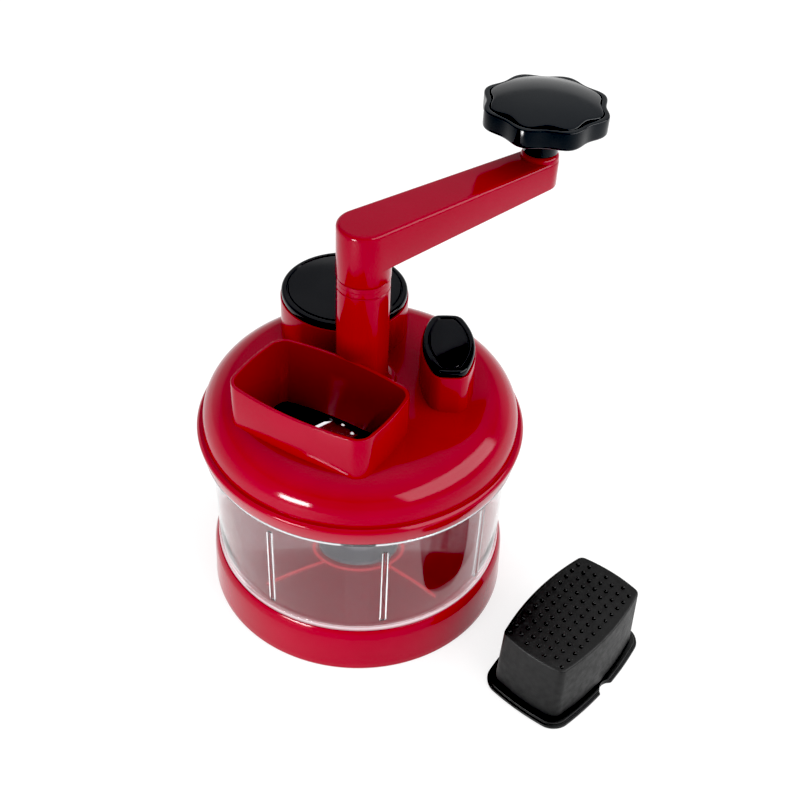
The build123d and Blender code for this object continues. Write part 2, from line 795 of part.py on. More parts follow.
with BuildPart() as slicing_blade:
    # the section across the blade, with its bevel under the cutting edge
    with BuildSketch(blade_end):
        with BuildLine():
            Polyline(
                (blade_lead - blade_width, 0),
                (blade_lead - blade_bevel, 0),
                (blade_lead, blade_thickness - blade_edge),
                (blade_lead, blade_thickness),
                (blade_lead - blade_width, blade_thickness),
                close=True,
            )
        make_face()
    extrude(amount=-blade_length)
    with BuildSketch(blade_plane):
        with Locations((blade_middle, blade_width / 2 - blade_lead)):
            RectangleRounded(blade_length, blade_width, blade_corner)
    extrude(amount=blade_thickness, mode=Mode.INTERSECT)
    with BuildSketch(blade_plane):
        with Locations(rivet_spots):
            Circle(rivet_shank_radius + press_gap)
    extrude(amount=blade_thickness, mode=Mode.SUBTRACT)
finish(slicing_blade, "slicing_blade")

# the sphere whose cap is the rivets' domed head
dome_radius = (rivet_radius**2 + rivet_height**2) / (2 * rivet_height)

with BuildPart() as blade_rivets:
    with BuildSketch(blade_plane.offset(-rivet_depth)):
        with Locations(rivet_spots):
            Circle(rivet_shank_radius)
    extrude(amount=rivet_depth + blade_thickness)
    with Locations(blade_plane.offset(blade_thickness + rivet_height - dome_radius)):
        with Locations(rivet_spots):
            Sphere(dome_radius)
    split(bisect_by=level(disc_top + blade_thickness), keep=Keep.TOP)
    with BuildSketch(blade_plane.offset(-rivet_depth)):
        with Locations(rivet_spots):
            Circle(rivet_shank_radius)
    extrude(amount=rivet_depth + blade_thickness)
finish(blade_rivets, "blade_rivets")

# ---- Palm knob ------------------------------------------------------------
ledge_radius = knob_radius - knob_inset - knob_ledge
cap_radius = knob_radius - knob_inset
crown_sweep = cap_radius + knob_wave
crown_sphere = (crown_sweep**2 + knob_crown**2) / (2 * knob_crown)

with BuildPart() as knob_body:
    extrude(scalloped_face(knob_bottom, knob_radius), amount=knob_side)
    fillet(knob_body.faces().sort_by(Axis.Z)[0].edges(), radius=knob_edge_round)
    fillet(knob_body.faces().sort_by(Axis.Z)[-1].edges(), radius=knob_rim_round)
    extrude(scalloped_face(cap_floor, cap_radius), amount=knob_cap_seat, mode=Mode.SUBTRACT)
    # hollow below the cap, with the neck going up through it and ribs round the neck
    extrude(
        scalloped_face(knob_bottom + knob_wall, ledge_radius),
        amount=cap_floor - knob_bottom - knob_wall,
        mode=Mode.SUBTRACT,
    )
    neck = round_face(level(neck_bottom, crank_end), knob_neck_radius)
    extrude(neck, amount=cap_floor - neck_bottom)
    with BuildSketch(level(knob_bottom + knob_wall, crank_end)):
        with PolarLocations(
            (knob_neck_radius + ledge_radius) / 2, knob_lobes, start_angle=knob_phase
        ):
            Rectangle(ledge_radius - knob_neck_radius + 3 * knob_ledge, knob_rib_width)
    extrude(amount=cap_floor - knob_bottom - 2 * knob_wall)
    # the screw's bore and the room for its head
    screw_bore = round_face(level(neck_bottom, crank_end), knob_screw_radius + running_gap)
    extrude(screw_bore, amount=cap_floor - neck_bottom, mode=Mode.SUBTRACT)
    head_room = round_face(level(head_seat - body_gap, crank_end), knob_head_radius + body_gap)
    extrude(head_room, amount=cap_floor - head_seat + body_gap, mode=Mode.SUBTRACT)
finish(knob_body, "knob_body")

with BuildPart() as knob_cap:
    with Locations((*crank_end, knob_rim + knob_crown - crown_sphere)):
        Sphere(crown_sphere)
    extrude(
        scalloped_face(cap_floor, cap_radius - knob_cap_gap),
        amount=knob_cap_seat + knob_crown,
        mode=Mode.INTERSECT,
    )
finish(knob_cap, "knob_cap")

with BuildPart() as knob_screw:
    extrude(round_face(level(boss_top, crank_end), knob_screw_radius), amount=head_seat - boss_top)
    extrude(round_face(level(thread_bottom, crank_end), knob_thread_radius), amount=knob_thread_length)
    with BuildSketch(level(head_seat, crank_end)):
        Circle(knob_head_radius)
    extrude(amount=knob_head_height)
    with BuildSketch(level(head_seat + knob_head_height, crank_end)):
        RegularPolygon(knob_thread_radius, 6)
    extrude(amount=-knob_head_height / 2, mode=Mode.SUBTRACT)
finish(knob_screw, "knob_screw")

with BuildPart() as knob_washer:
    with BuildSketch(level(boss_top, crank_end)):
        Circle(knob_washer_radius)
        Circle(knob_screw_radius + press_gap, mode=Mode.SUBTRACT)
    extrude(amount=knob_washer_thickness)
finish(knob_washer, "knob_washer")

# ---- Pushers --------------------------------------------------------------
cap_bottom = chute_top + body_gap
cap_height = pusher_flange - body_gap


def chute_cap(outline):
    """In a part, the cap of a pusher that sits on its chute's rim."""
    extrude(outline(cap_bottom, -pusher_flange_setback), amount=cap_height)


def cap_line(outline, top):
    """In a part, cut the fine line that runs round the top of a cap."""
    line = -pusher_line_inset
    outer = outline(top, line)
    inner = outline(top, line - pusher_line_width)
    extrude(outer - inner, amount=-pusher_line_depth, mode=Mode.SUBTRACT)


with BuildPart() as round_pusher:
    plunger(round_outline, cap_bottom, -1)
finish(round_pusher, "round_pusher")

with BuildPart() as round_pusher_cap:
    chute_cap(round_outline)
    fillet(round_pusher_cap.faces().sort_by(Axis.Z)[-1].edges(), radius=pusher_flange_round)
    cap_line(round_outline, cap_bottom + cap_height)
    plug_ring(round_outline, cap_bottom, -1)
finish(round_pusher_cap, "round_pusher_cap")

with BuildPart() as small_pusher:
    plunger(small_outline, cap_bottom, -1)
finish(small_pusher, "small_pusher")

with BuildPart() as small_pusher_cap:
    chute_cap(small_outline)
    fillet(small_pusher_cap.faces().sort_by(Axis.Z)[-1].edges(), radius=pusher_flange_round)
    cap_line(small_outline, cap_bottom + cap_height)
    plug_ring(small_outline, cap_bottom, -1)
finish(small_pusher_cap, "small_pusher_cap")

flange_reach = hopper_half_width + hopper_side_bow + rect_flange_overhang
notch_distance = flange_reach - finger_notch_depth + finger_notch_radius

with BuildPart() as rect_pusher:
    plunger(loose_outline, rect_flange_height, 1)
finish(rect_pusher, "rect_pusher")

with BuildPart() as rect_pusher_cap:
    extrude(loose_outline(0, rect_flange_overhang), amount=rect_flange_height - rect_flange_step)
    extrude(loose_outline(0, 0), amount=rect_flange_height)
    plug_ring(loose_outline, rect_flange_height, 1)
    # the finger notch in the middle of one long side
    with BuildSketch(level(0, (rect_pusher_x, rect_pusher_y), rect_pusher_turn)):
        with Locations((0, -notch_distance)):
            Circle(finger_notch_radius)
    extrude(amount=rect_flange_height, mode=Mode.SUBTRACT)
finish(rect_pusher_cap, "rect_pusher_cap")
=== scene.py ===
"""Dresses the hand cranked food chopper: its smooth outer forms, finishes and studio.

Sizes are in millimetres, as in the solids, until a form is turned into a piece.
"""

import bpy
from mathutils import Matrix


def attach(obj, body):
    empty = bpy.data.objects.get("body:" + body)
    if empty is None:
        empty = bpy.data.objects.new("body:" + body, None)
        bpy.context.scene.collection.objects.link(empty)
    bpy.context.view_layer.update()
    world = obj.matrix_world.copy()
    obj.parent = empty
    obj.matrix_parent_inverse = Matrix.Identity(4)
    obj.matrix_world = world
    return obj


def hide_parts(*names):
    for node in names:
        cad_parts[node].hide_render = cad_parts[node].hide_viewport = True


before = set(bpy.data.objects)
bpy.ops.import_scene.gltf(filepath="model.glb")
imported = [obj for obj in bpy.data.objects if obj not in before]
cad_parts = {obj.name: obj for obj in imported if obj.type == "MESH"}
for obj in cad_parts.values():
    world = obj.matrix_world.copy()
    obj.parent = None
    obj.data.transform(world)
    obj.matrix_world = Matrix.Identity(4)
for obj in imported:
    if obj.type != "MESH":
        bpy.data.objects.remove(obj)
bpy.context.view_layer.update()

import logging
import math
from dataclasses import dataclass, field
from enum import Enum

import bmesh
import bpy
from mathutils import Euler, Matrix, Vector

log = logging.getLogger("chopper")

MM = 0.001
FULL_TURN = 2 * math.pi
QUARTER_STEPS = 6  # how many flats stand for a quarter of a round


def put(name: str, data: bpy.types.ID) -> bpy.types.Object:
    """Puts a new object into the scene, at the origin.

    Args:
        name: the object's name.
        data: its mesh, light or camera.

    Returns:
        The object.
    """
    thing = bpy.data.objects.new(name, data)
    bpy.context.scene.collection.objects.link(thing)
    return thing


def set_inputs(node: bpy.types.Node, **values: float | tuple[float, ...]) -> bpy.types.Node:
    """Sets a node's inputs to constants.

    Args:
        node: the node.
        values: the inputs' names, with underscores for spaces, and what they are set to.

    Returns:
        The node itself.
    """
    for name, value in values.items():
        node.inputs[name.replace("_", " ")].default_value = value
    return node


# ---- Outlines -------------------------------------------------------------
@dataclass(frozen=True)
class RoundOutline:
    """A circle; grow is added to its radius."""

    radius: float = 0.0

    def point(self, share: float, grow: float) -> tuple[float, float]:
        """A point of the circle.

        Args:
            share: how far round, from 0 to 1.
            grow: added to the radius, in mm.

        Returns:
            X and Y in the outline's own plane, in mm.
        """
        reach = self.radius + grow
        return reach * math.cos(FULL_TURN * share), reach * math.sin(FULL_TURN * share)


@dataclass(frozen=True)
class ScallopOutline:
    """A circle with a smooth wave round it, as on the palm knob."""

    radius: float
    wave: float
    lobes: int
    phase: float

    def point(self, share: float, grow: float) -> tuple[float, float]:
        """A point of the wavy circle.

        Args:
            share: how far round, from 0 to 1.
            grow: added to the radius, in mm.

        Returns:
            X and Y in the outline's own plane, in mm.
        """
        angle = FULL_TURN * share
        ripple = math.cos(self.lobes * (angle - math.radians(self.phase)))
        reach = self.radius + grow + self.wave * ripple
        return reach * math.cos(angle), reach * math.sin(angle)


@dataclass(frozen=True)
class BowedOutline:
    """A rounded rectangle whose sides bow outwards, as the chutes have."""

    half_length: float
    half_width: float
    end_bow: float
    side_bow: float
    corner: float
    least_corner: float = 0.8

    def point(self, share: float, grow: float) -> tuple[float, float]:
        """A point of the outline, with every corner at the same share at any grow.

        Args:
            share: how far round, from 0 to 1.
            grow: how far every side is moved outwards, in mm.

        Returns:
            X and Y in the outline's own plane, in mm.
        """
        arc = self.corner * math.pi / 2
        side, end = 2 * (self.half_length - self.corner), 2 * (self.half_width - self.corner)
        whole = 2 * (side + end) + 4 * arc
        a, b = self.half_length + grow, self.half_width + grow
        c = max(self.corner + grow, self.least_corner)
        walk = share * whole
        x, y = 0.0, 0.0
        for turn, length in enumerate((end, side, end, side)):
            # each quarter is one straight run and the corner after it
            along, across = (b, a) if turn % 2 == 0 else (a, b)
            if walk <= length + arc or turn == 3:
                if walk <= length:
                    run, off = (walk / length * 2 - 1) * (along - c), across
                else:
                    swing = min((walk - length) / arc, 1) * math.pi / 2
                    run = along - c + c * math.sin(swing)
                    off = across - c + c * math.cos(swing)
                x, y = ((off, run), (-run, off), (-off, -run), (run, -off))[turn]
                break
            walk -= length + arc
        bow_x = self.end_bow * (x / a) * (1 - (y / b) ** 2)
        bow_y = self.side_bow * (y / b) * (1 - (x / a) ** 2)
        return x + bow_x, y + bow_y


@dataclass(frozen=True)
class ArmOutline:
    """Two circles and the straight lines that touch both, as the crank arm has."""

    hub: float
    end: float
    throw: float

    def point(self, share: float, grow: float) -> tuple[float, float]:
        """A point of the outline.

        Args:
            share: how far round, from 0 to 1, starting beyond the far end.
            grow: how far the outline is moved outwards, in mm.

        Returns:
            X along the arm and Y across it, in mm.
        """
        touch = math.acos((self.hub - self.end) / self.throw)
        side = math.sqrt(self.throw**2 - (self.hub - self.end) ** 2)
        end, hub = self.end + grow, self.hub + grow
        runs = (self.end * touch, side, self.hub * 2 * (math.pi - touch), side, self.end * touch)
        walk = share * sum(runs)
        if walk <= runs[0]:
            angle = walk / self.end
            return self.throw + end * math.cos(angle), end * math.sin(angle)
        walk -= runs[0]
        if walk <= side:
            part = walk / side
            reach = end + (hub - end) * part
            middle = self.throw * (1 - part)
            return middle + reach * math.cos(touch), reach * math.sin(touch)
        walk -= side
        if walk <= runs[2]:
            angle = touch + walk / self.hub
            return hub * math.cos(angle), hub * math.sin(angle)
        walk -= runs[2]
        if walk <= side:
            part = walk / side
            reach = hub + (end - hub) * part
            return self.throw * part + reach * math.cos(touch), -reach * math.sin(touch)
        angle = -touch + (walk - side) / self.end
        return self.throw + end * math.cos(angle), end * math.sin(angle)


Outline = RoundOutline | ScallopOutline | BowedOutline | ArmOutline


@dataclass(frozen=True)
class Place:
    """Where an outline's own origin lies in plan, and how far it is turned."""

    x: float = 0.0
    y: float = 0.0
    turn: float = 0.0

    @classmethod
    def polar(cls, distance: float, azimuth: float, turn: float = 0.0) -> "Place":
        """The place at a distance and azimuth from the crank axis.

        Args:
            distance: how far from the axis, in mm.
            azimuth: the direction in plan, in degrees from X.
            turn: how far the outline is turned, in degrees.

        Returns:
            The place.
        """
        angle = math.radians(azimuth)
        return cls(distance * math.cos(angle), distance * math.sin(angle), turn)

    def to_plan(self, x: float, y: float) -> tuple[float, float]:
        """Turns a point of the outline into a point of the whole object.

        Args:
            x: X in the outline's own plane, in mm.
            y: Y in the outline's own plane, in mm.

        Returns:
            X and Y of the whole object, in mm.
        """
        c, s = math.cos(math.radians(self.turn)), math.sin(math.radians(self.turn))
        return self.x + c * x - s * y, self.y + s * x + c * y


@dataclass(frozen=True)
class Ring:
    """One level of a form: how far its outline has grown, and its height.

    Its edge is rounded by soft, in so many steps; scale shrinks the outline about its place.
    """

    grow: float
    height: float
    soft: float = 0.0
    steps: int = 3
    scale: float = 1.0


class Ends(Enum):
    """How the first and the last ring of a form are finished."""

    CAPPED = "capped"
    OPEN = "open"
    JOINED = "joined"


# ---- Forms ----------------------------------------------------------------
class Form:
    """A closed form made by carrying an outline from ring to ring."""

    def __init__(self) -> None:
        """Starts an empty form."""
        self.mesh = bmesh.new()

    def carry(
        self,
        outline: Outline,
        place: Place,
        rings: list[Ring],
        count: int = 192,
        ends: Ends = Ends.CAPPED,
    ) -> "Form":
        """Adds a shell: the outline is extruded from each ring to the next.

        Args:
            outline: the shape in plan.
            place: where it stands.
            rings: the levels, in order along the surface.
            count: how many points go round.
            ends: whether the ends are capped, left open or joined to each other.

        Returns:
            The form itself.
        """
        part = bmesh.new()
        spot = part.verts.layers.int.new("spot")
        loop = bmesh.ops.create_circle(part, cap_ends=False, segments=count, radius=1)["verts"]
        for number, vert in enumerate(loop):
            vert[spot] = number
        edges = list({edge for vert in loop for edge in vert.link_edges})
        levels = []
        todo = rings + rings[:1] if ends is Ends.JOINED else rings
        for step, ring in enumerate(todo):
            if step:
                made = bmesh.ops.extrude_edge_only(part, edges=edges)["geom"]
                loop = [item for item in made if isinstance(item, bmesh.types.BMVert)]
                fresh = set(loop)
                edges = [
                    item
                    for item in made
                    if isinstance(item, bmesh.types.BMEdge)
                    and item.verts[0] in fresh
                    and item.verts[1] in fresh
                ]
            for vert in loop:
                x, y = outline.point(vert[spot] / count, ring.grow)
                x, y = place.to_plan(x * ring.scale, y * ring.scale)
                vert.co = (x, y, ring.height)
            levels.append(edges)
        if ends is Ends.CAPPED:
            for edges in (levels[0], levels[-1]):
                bmesh.ops.contextual_create(part, geom=edges)
        bmesh.ops.recalc_face_normals(part, faces=part.faces)
        for edges, ring in zip(levels, todo):
            if ring.soft:
                bmesh.ops.bevel(
                    part,
                    geom=edges,
                    offset=ring.soft,
                    segments=ring.steps,
                    profile=0.5,
                    affect="EDGES",
                    material=-1,
                    clamp_overlap=True,
                )
        self._join(part)
        return self

    def turned(self, rings: list[Ring], count: int = 192, ends: Ends = Ends.CAPPED) -> "Form":
        """Adds a shell turned about the crank axis.

        Args:
            rings: the levels; each ring's grow is its radius.
            count: how many points go round.
            ends: whether the ends are capped, left open or joined to each other.

        Returns:
            The form itself.
        """
        return self.carry(RoundOutline(), Place(), rings, count, ends)

    def studs(self, spots: list[tuple[float, float]], height: float, radius: float) -> "Form":
        """Adds small round-topped studs.

        Args:
            spots: where they stand in plan, in mm.
            height: the height of the face under them, in mm.
            radius: their radius, in mm.

        Returns:
            The form itself.
        """
        part = bmesh.new()
        for x, y in spots:
            bmesh.ops.create_uvsphere(
                part, u_segments=10, v_segments=6, radius=radius,
                matrix=Matrix.Translation((x, y, height)),
            )
        self._join(part)
        return self

    def _join(self, part: bmesh.types.BMesh) -> None:
        """Merges a shell's doubles, turns its faces outwards and adds it to the form.

        Args:
            part: the shell, used up.
        """
        bmesh.ops.remove_doubles(part, verts=part.verts, dist=0.002)
        bmesh.ops.recalc_face_normals(part, faces=part.faces)
        store = bpy.data.meshes.new("shell")
        part.to_mesh(store)
        part.free()
        self.mesh.from_mesh(store)
        bpy.data.meshes.remove(store)

    def cut(self, tool: "Form", how: str = "DIFFERENCE") -> "Form":
        """Cuts another form out of this one, or welds it on.

        Args:
            tool: the other form, used up by the cut.
            how: the name of the boolean, DIFFERENCE or UNION.

        Returns:
            The form itself.
        """
        body, blade = self._loose("body"), tool._loose("tool")
        step = body.modifiers.new("cut", "BOOLEAN")
        step.operation, step.solver, step.object = how, "EXACT", blade
        ready = bpy.context.evaluated_depsgraph_get()
        result = bpy.data.meshes.new_from_object(body.evaluated_get(ready))
        self.mesh.clear()
        self.mesh.from_mesh(result)
        for thing in (body, blade):
            store = thing.data
            bpy.data.objects.remove(thing)
            bpy.data.meshes.remove(store)
        bpy.data.meshes.remove(result)
        return self

    def take(self, other: "Form") -> None:
        """Adds another form's shells to this one.

        Args:
            other: the other form, used up.
        """
        self._join(other.mesh)

    def _loose(self, name: str) -> bpy.types.Object:
        """A temporary object with this form as its mesh.

        Args:
            name: the object's name.

        Returns:
            The object.
        """
        store = bpy.data.meshes.new(name)
        self.mesh.to_mesh(store)
        return put(name, store)

    def piece(
        self,
        name: str,
        body: str,
        finish: "Finish",
        slot: str,
        replaces: tuple[str, ...] = (),
        crease: float = 32.0,
    ) -> bpy.types.Object:
        """Turns the form into a finished piece of the object.

        Args:
            name: the piece's name.
            body: the body that it moves with.
            finish: its material.
            slot: the record's material slot; not used.
            replaces: the solids that it stands for.
            crease: edges sharper than this many degrees stay sharp.

        Returns:
            The piece's object.
        """
        bmesh.ops.scale(self.mesh, vec=(MM, MM, MM), verts=self.mesh.verts)
        store = bpy.data.meshes.new(name)
        self.mesh.to_mesh(store)
        self.mesh.free()
        store.shade_smooth()
        store.set_sharp_from_angle(angle=math.radians(crease))
        store.materials.append(finish.material())
        thing = put(name, store)
        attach(thing, body)
        if replaces:
            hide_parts(*replaces)
        log.info("%s: %d faces on %s", name, len(store.polygons), body)
        return thing


def dress_node(node: str, finish: "Finish") -> None:
    """Gives a carried-over solid its finish.

    Args:
        node: the solid's name.
        finish: its material.
    """
    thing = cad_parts[node]
    thing.data.materials.clear()
    thing.data.materials.append(finish.material())
    log.info("%s: solid dressed", node)


# ---- Finishes -------------------------------------------------------------
Shade = tuple[float, float, float]


class Graph:
    """A material's nodes, with short ways to add the few kinds used here."""

    def __init__(self, name: str) -> None:
        """Starts a material with a shader that has its standard values.

        Args:
            name: the material's name.
        """
        self.material = bpy.data.materials.new(name)
        self.material.use_nodes = True
        self.nodes, self.links = self.material.node_tree.nodes, self.material.node_tree.links
        self.shader = self.nodes["Principled BSDF"]
        self.place = self.nodes.new("ShaderNodeTexCoord").outputs["Object"]

    def set(self, **values: float | tuple[float, ...]) -> None:
        """Sets the shader's own inputs.

        Args:
            values: the inputs' names, with underscores for spaces, and what they are set to.
        """
        set_inputs(self.shader, **values)

    def noise(
        self,
        size: float,
        detail: float = 2.0,
        stretch: tuple[float, ...] = (1, 1, 1),
        turn: float = 0.0,
    ) -> bpy.types.NodeSocket:
        """A noise laid on the object.

        Args:
            size: about how many mm its features are across.
            detail: how many finer octaves it has.
            stretch: how much finer it is along X, Y and Z.
            turn: how far it is turned in plan, in degrees.

        Returns:
            The noise's value.
        """
        spread = self.nodes.new("ShaderNodeMapping")
        set_inputs(spread, Scale=stretch, Rotation=(0, 0, math.radians(-turn)))
        self.links.new(self.place, spread.inputs["Vector"])
        node = set_inputs(self.nodes.new("ShaderNodeTexNoise"), Scale=1 / (size * MM), Detail=detail)
        self.links.new(spread.outputs["Vector"], node.inputs["Vector"])
        return node.outputs["Fac"]

    def tint(self, source: bpy.types.NodeSocket, dark: Shade, light: Shade) -> None:
        """Lets the base colour wander between two shades.

        Args:
            source: the noise that it follows.
            dark: the shade where the noise is low.
            light: the shade where the noise is high.
        """
        ramp = self.nodes.new("ShaderNodeValToRGB")
        for stop, spot, shade in zip(ramp.color_ramp.elements, (0.35, 0.65), (dark, light)):
            stop.position, stop.color = spot, (*shade, 1)
        self.links.new(source, ramp.inputs["Fac"])
        self.links.new(ramp.outputs["Color"], self.shader.inputs["Base Color"])

    def rough(self, source: bpy.types.NodeSocket, low: float, high: float) -> None:
        """Lets the roughness wander between two values.

        Args:
            source: the noise that it follows, over its middle range.
            low: the roughness where the noise is low.
            high: the roughness where the noise is high.
        """
        node = self.nodes.new("ShaderNodeMapRange")
        set_inputs(node, From_Min=0.3, From_Max=0.7, To_Min=low, To_Max=high)
        self.links.new(source, node.inputs["Value"])
        self.links.new(node.outputs["Result"], self.shader.inputs["Roughness"])

    def bump(
        self,
        source: bpy.types.NodeSocket,
        depth: float,
        before: bpy.types.NodeSocket | None = None,
    ) -> bpy.types.NodeSocket:
        """Raises the surface where a noise is high.

        Args:
            source: the noise.
            depth: how high the surface is raised at most, in mm.
            before: the surface as an earlier noise left it.

        Returns:
            The raised surface's normal.
        """
        node = set_inputs(self.nodes.new("ShaderNodeBump"), Strength=1.0, Distance=depth * MM)
        self.links.new(source, node.inputs["Height"])
        if before is not None:
            self.links.new(before, node.inputs["Normal"])
        self.links.new(node.outputs["Normal"], self.shader.inputs["Normal"])
        return node.outputs["Normal"]


@dataclass(frozen=True)
class Finish:
    """What every finish has: a name under which its material is made once."""

    name: str

    @property
    def label(self) -> str:
        """The name of the finish's material, apart from the names of the frame's own.

        Returns:
            The name.
        """
        return f"{self.name}_finish"

    def material(self) -> bpy.types.Material:
        """The finish's material, made the first time that it is asked for.

        Returns:
            The material.
        """
        ready = bpy.data.materials.get(self.label)
        return ready if ready else self.make()

    def make(self) -> bpy.types.Material:
        """Makes the material.

        Returns:
            The material.
        """
        raise NotImplementedError


@dataclass(frozen=True)
class GlossPlastic(Finish):
    """Polished moulded plastic: faint ripple, faint clouding, fine wear, and, where glow is set, painted
    light: a glow that stands for light passing through to it.
    """

    dark: Shade
    light: Shade
    roughness: float = 0.12
    ripple: float = 0.010
    # glow paints light on the plastic: an emission, not a lamp
    glow: float = 0.0

    def make(self) -> bpy.types.Material:
        """Makes the polished plastic.

        Returns:
            The material.
        """
        graph = Graph(self.label)
        graph.set(IOR=1.4, Emission_Color=(*self.light, 1), Emission_Strength=self.glow)
        graph.tint(graph.noise(38.0, 3.0), self.dark, self.light)
        graph.rough(graph.noise(9.0, 5.0), self.roughness * 0.8, self.roughness * 1.35)
        wave = graph.bump(graph.noise(7.0, 1.0), self.ripple)
        graph.bump(graph.noise(0.5, 3.0), 0.002, wave)
        return graph.material


@dataclass(frozen=True)
class GrainPlastic(Finish):
    """Spark-eroded plastic: a fine even grain that scatters the light."""

    dark: Shade
    light: Shade
    roughness: float = 0.5
    grain: float = 0.45
    depth: float = 0.05

    def make(self) -> bpy.types.Material:
        """Makes the grained plastic.

        Returns:
            The material.
        """
        graph = Graph(self.label)
        graph.set(IOR=1.5)
        graph.tint(graph.noise(12.0, 4.0), self.dark, self.light)
        graph.rough(graph.noise(4.0, 4.0), self.roughness * 0.85, self.roughness * 1.15)
        graph.bump(graph.noise(self.grain, 3.0), self.depth)
        return graph.material


@dataclass(frozen=True)
class ClearPlastic(Finish):
    """Clear moulded plastic with a faint haze and slow waves in its wall."""

    colour: Shade = (0.94, 0.945, 0.96)
    glow: float = 0.0

    def make(self) -> bpy.types.Material:
        """Makes the clear plastic.

        Returns:
            The material.
        """
        graph = Graph(self.label)
        graph.set(IOR=1.49, Transmission_Weight=1.0, Base_Color=(*self.colour, 1))
        # where glow is set, the plastic emits a pinkish white: a painted highlight
        graph.set(Emission_Color=(1, 0.9, 0.94, 1), Emission_Strength=self.glow)
        graph.rough(graph.noise(14.0, 4.0), 0.02, 0.06)
        wave = graph.bump(graph.noise(16.0, 1.0, (1, 1, 0.4)), 0.012)
        graph.bump(graph.noise(0.6, 2.0), 0.0008, wave)
        return graph.material


@dataclass(frozen=True)
class Steel(Finish):
    """Ground steel with fine lines one way."""

    colour: Shade = (0.62, 0.62, 0.63)
    roughness: float = 0.28
    lines: tuple[float, float, float] = (1, 14, 1)
    turn: float = 0.0

    def make(self) -> bpy.types.Material:
        """Makes the steel.

        Returns:
            The material.
        """
        graph = Graph(self.label)
        graph.set(Metallic=1.0)
        darker = tuple(part * 0.86 for part in self.colour)
        graph.tint(graph.noise(5.0, 4.0, turn=self.turn), darker, self.colour)
        lines = graph.noise(3.0, 5.0, self.lines, self.turn)
        graph.rough(lines, self.roughness * 0.75, self.roughness * 1.3)
        graph.bump(lines, 0.006)
        return graph.material


@dataclass(frozen=True)
class Paper(Finish):
    """The studio's pale floor, which its own glow keeps white."""

    glow: float = 0.66

    def make(self) -> bpy.types.Material:
        """Makes the floor's paper.

        Returns:
            The material.
        """
        graph = Graph(self.label)
        graph.set(IOR=1.3, Emission_Color=(1, 1, 1, 1), Emission_Strength=self.glow)
        graph.tint(graph.noise(180.0, 2.0), (0.33, 0.33, 0.33), (0.36, 0.36, 0.36))
        graph.rough(graph.noise(3.0, 3.0), 0.85, 0.95)
        return graph.material


RED = GlossPlastic("red_gloss", (0.262, 0.0006, 0.014), (0.285, 0.0008, 0.017))
# painted light: the deck and rib finishes are brighter copies of the red that also glow, standing in for
# the light the clear bowl would pass down; the ribs glow more, as painted lines
DECK_PAINTED_GLOW = GlossPlastic("deck_painted_glow", (0.43, 0.0006, 0.02), (0.47, 0.0008, 0.024), glow=0.26)
RIB_PAINTED_GLOW = GlossPlastic("rib_painted_glow", (0.5, 0.03, 0.05), (0.55, 0.04, 0.06), glow=0.6)
BLACK = GlossPlastic("black_gloss", (0.005, 0.0055, 0.007), (0.007, 0.0075, 0.009))
KNOB_BLACK = GlossPlastic("knob_gloss", (0.005, 0.0065, 0.0085), (0.007, 0.0085, 0.0105), 0.16)
GRAIN = GrainPlastic("black_grain", (0.006, 0.006, 0.0062), (0.008, 0.008, 0.0082))
DISC = GrainPlastic("disc_plastic", (0.012, 0.012, 0.013), (0.017, 0.017, 0.018), 0.35, 0.6, 0.02)
CLEAR = ClearPlastic("clear_plastic")
# painted highlight: a glowing copy of the clear plastic for the bowl's bead and heel
CLEAR_EDGE_PAINTED_HIGHLIGHT = ClearPlastic("clear_edge_painted_highlight", glow=0.35)
GREY = GrainPlastic("grey_plastic", (0.19, 0.185, 0.2), (0.23, 0.225, 0.24), 0.4, 0.5, 0.02)
BUSH = GrainPlastic("bush_plastic", (0.56, 0.54, 0.49), (0.62, 0.6, 0.55), 0.35, 0.4, 0.01)
RUBBER = GrainPlastic("foot_rubber", (0.02, 0.02, 0.02), (0.03, 0.03, 0.03), 0.8, 0.35, 0.04)
SHAFT_STEEL = Steel("shaft_steel", lines=(1, 1, 12))
BLADE_STEEL = Steel("blade_steel", (0.74, 0.71, 0.73), 0.3, (12, 1, 1), -111.3)
PAPER = Paper("studio_paper")


# ---- Sub-assemblies -------------------------------------------------------
HOPPER = BowedOutline(41.9, 23.8, 2.2, 4.4, 6.5)
SMALL_CHUTE = BowedOutline(25.2, 8.2, 0.6, 6.6, 3.5)
ROUND_CHUTE = RoundOutline(36.5)
SMALL_PLACE = Place.polar(46.5, 32.0, 122.0)
ROUND_PLACE = Place.polar(50.6, 134.0)
CRANK_THROW, CRANK_AZIMUTH = 118.5, 69.0


